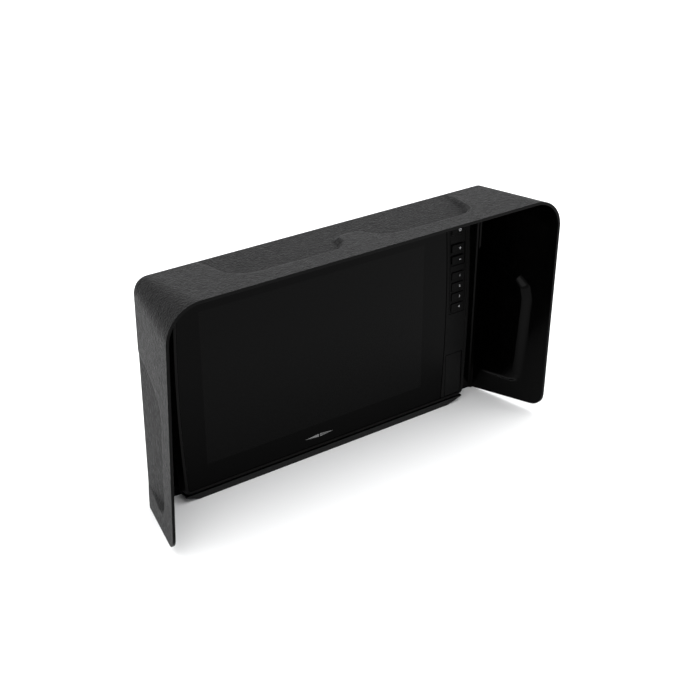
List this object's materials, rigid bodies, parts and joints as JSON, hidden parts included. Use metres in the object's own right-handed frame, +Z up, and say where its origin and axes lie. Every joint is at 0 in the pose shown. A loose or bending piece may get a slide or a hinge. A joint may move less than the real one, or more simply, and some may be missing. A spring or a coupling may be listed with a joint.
{
  "type": "chartplotter display",
  "caption": "Wide marine touch display with a column of press keys and a hinged card door, under a lift-off sun visor formed from one sheet.",
  "frame": {"origin": "middle of the object's width and depth, at the level surface it stands on", "axes": "+X to the right seen from the front, +Y from the screen to the back, +Z up"},
  "size_m": [0.4512, 0.1474, 0.2557],
  "materials": {
    "visor_sheet": "fine grain outside, smooth inside",
    "housing_plastic": "fine spark texture",
    "cover_glass": "polished",
    "screen_cell": "satin",
    "key_plastic": "satin",
    "socket_plastic": "satin",
    "rubber": "matte",
    "steel": "brushed",
    "aluminium": "satin",
    "brass": "turned",
    "circuit_board": "satin",
    "chip": "satin",
    "ceramic": "matte",
    "ribbon_film": "gloss"
  },
  "bodies": {
    "display": {"front_bezel": "housing_plastic", "front_glass": "cover_glass", "key_membrane": "rubber", "key_board": "circuit_board", "card_door_pin": "steel", "card_reader": "steel", "lcd_cell": "screen_cell", "backlight_tray": "aluminium", "lcd_chassis": "steel", "display_ribbon": "ribbon_film", "main_board": "circuit_board", "processor": "chip", "shield_can": "steel", "gps_antenna": "ceramic", "buzzer": "chip", "heat_spreader": "aluminium", "key_ribbon": "ribbon_film", "rear_housing": "housing_plastic", "housing_seal": "rubber", "power_socket": "socket_plastic", "transducer_socket": "socket_plastic", "network_socket": "socket_plastic", "data_socket": "socket_plastic", "vent_plug": "rubber", "housing_screw_1": "steel", "housing_screw_2": "steel", "housing_screw_3": "steel", "housing_screw_4": "steel", "housing_screw_5": "steel", "housing_screw_6": "steel", "housing_screw_7": "steel", "housing_screw_8": "steel", "board_screw_1": "steel", "board_screw_2": "steel", "board_screw_3": "steel", "board_screw_4": "steel", "mount_insert_1": "brass", "mount_insert_2": "brass", "mount_insert_3": "brass", "mount_insert_4": "brass"},
    "power_key": {"power_key": "key_plastic"},
    "zoom_in_key": {"zoom_in_key": "key_plastic"},
    "zoom_out_key": {"zoom_out_key": "key_plastic"},
    "shortcut_key_1": {"shortcut_key_1": "key_plastic"},
    "shortcut_key_2": {"shortcut_key_2": "key_plastic"},
    "shortcut_key_3": {"shortcut_key_3": "key_plastic"},
    "shortcut_key_4": {"shortcut_key_4": "key_plastic"},
    "card_door": {"card_door": "housing_plastic", "card_door_seal": "rubber"},
    "visor": {"visor_shell": "visor_sheet"}
  },
  "joints": [
    {"name": "power_key_press", "type": "slide", "parent": "display", "child": "power_key", "axis": [0, 1, 0], "range_m": [0, 0.0008], "stiffness_N_per_m": 800, "springref_m": -0.0005},
    {"name": "zoom_in_key_press", "type": "slide", "parent": "display", "child": "zoom_in_key", "axis": [0, 1, 0], "range_m": [0, 0.0008], "stiffness_N_per_m": 800, "springref_m": -0.0005},
    {"name": "zoom_out_key_press", "type": "slide", "parent": "display", "child": "zoom_out_key", "axis": [0, 1, 0], "range_m": [0, 0.0008], "stiffness_N_per_m": 800, "springref_m": -0.0005},
    {"name": "shortcut_key_1_press", "type": "slide", "parent": "display", "child": "shortcut_key_1", "axis": [0, 1, 0], "range_m": [0, 0.0008], "stiffness_N_per_m": 800, "springref_m": -0.0005},
    {"name": "shortcut_key_2_press", "type": "slide", "parent": "display", "child": "shortcut_key_2", "axis": [0, 1, 0], "range_m": [0, 0.0008], "stiffness_N_per_m": 800, "springref_m": -0.0005},
    {"name": "shortcut_key_3_press", "type": "slide", "parent": "display", "child": "shortcut_key_3", "axis": [0, 1, 0], "range_m": [0, 0.0008], "stiffness_N_per_m": 800, "springref_m": -0.0005},
    {"name": "shortcut_key_4_press", "type": "slide", "parent": "display", "child": "shortcut_key_4", "axis": [0, 1, 0], "range_m": [0, 0.0008], "stiffness_N_per_m": 800, "springref_m": -0.0005},
    {"name": "card_door_hinge", "type": "hinge", "parent": "display", "child": "card_door", "pos_m": [0.1663, 0.00691, 0.0404], "axis": [0, 0, 1], "range_deg": [0, 95]},
    {"name": "visor_lift", "type": "slide", "parent": "display", "child": "visor", "axis": [0, 0, 1], "range_m": [0, 0.235]}
  ]
}
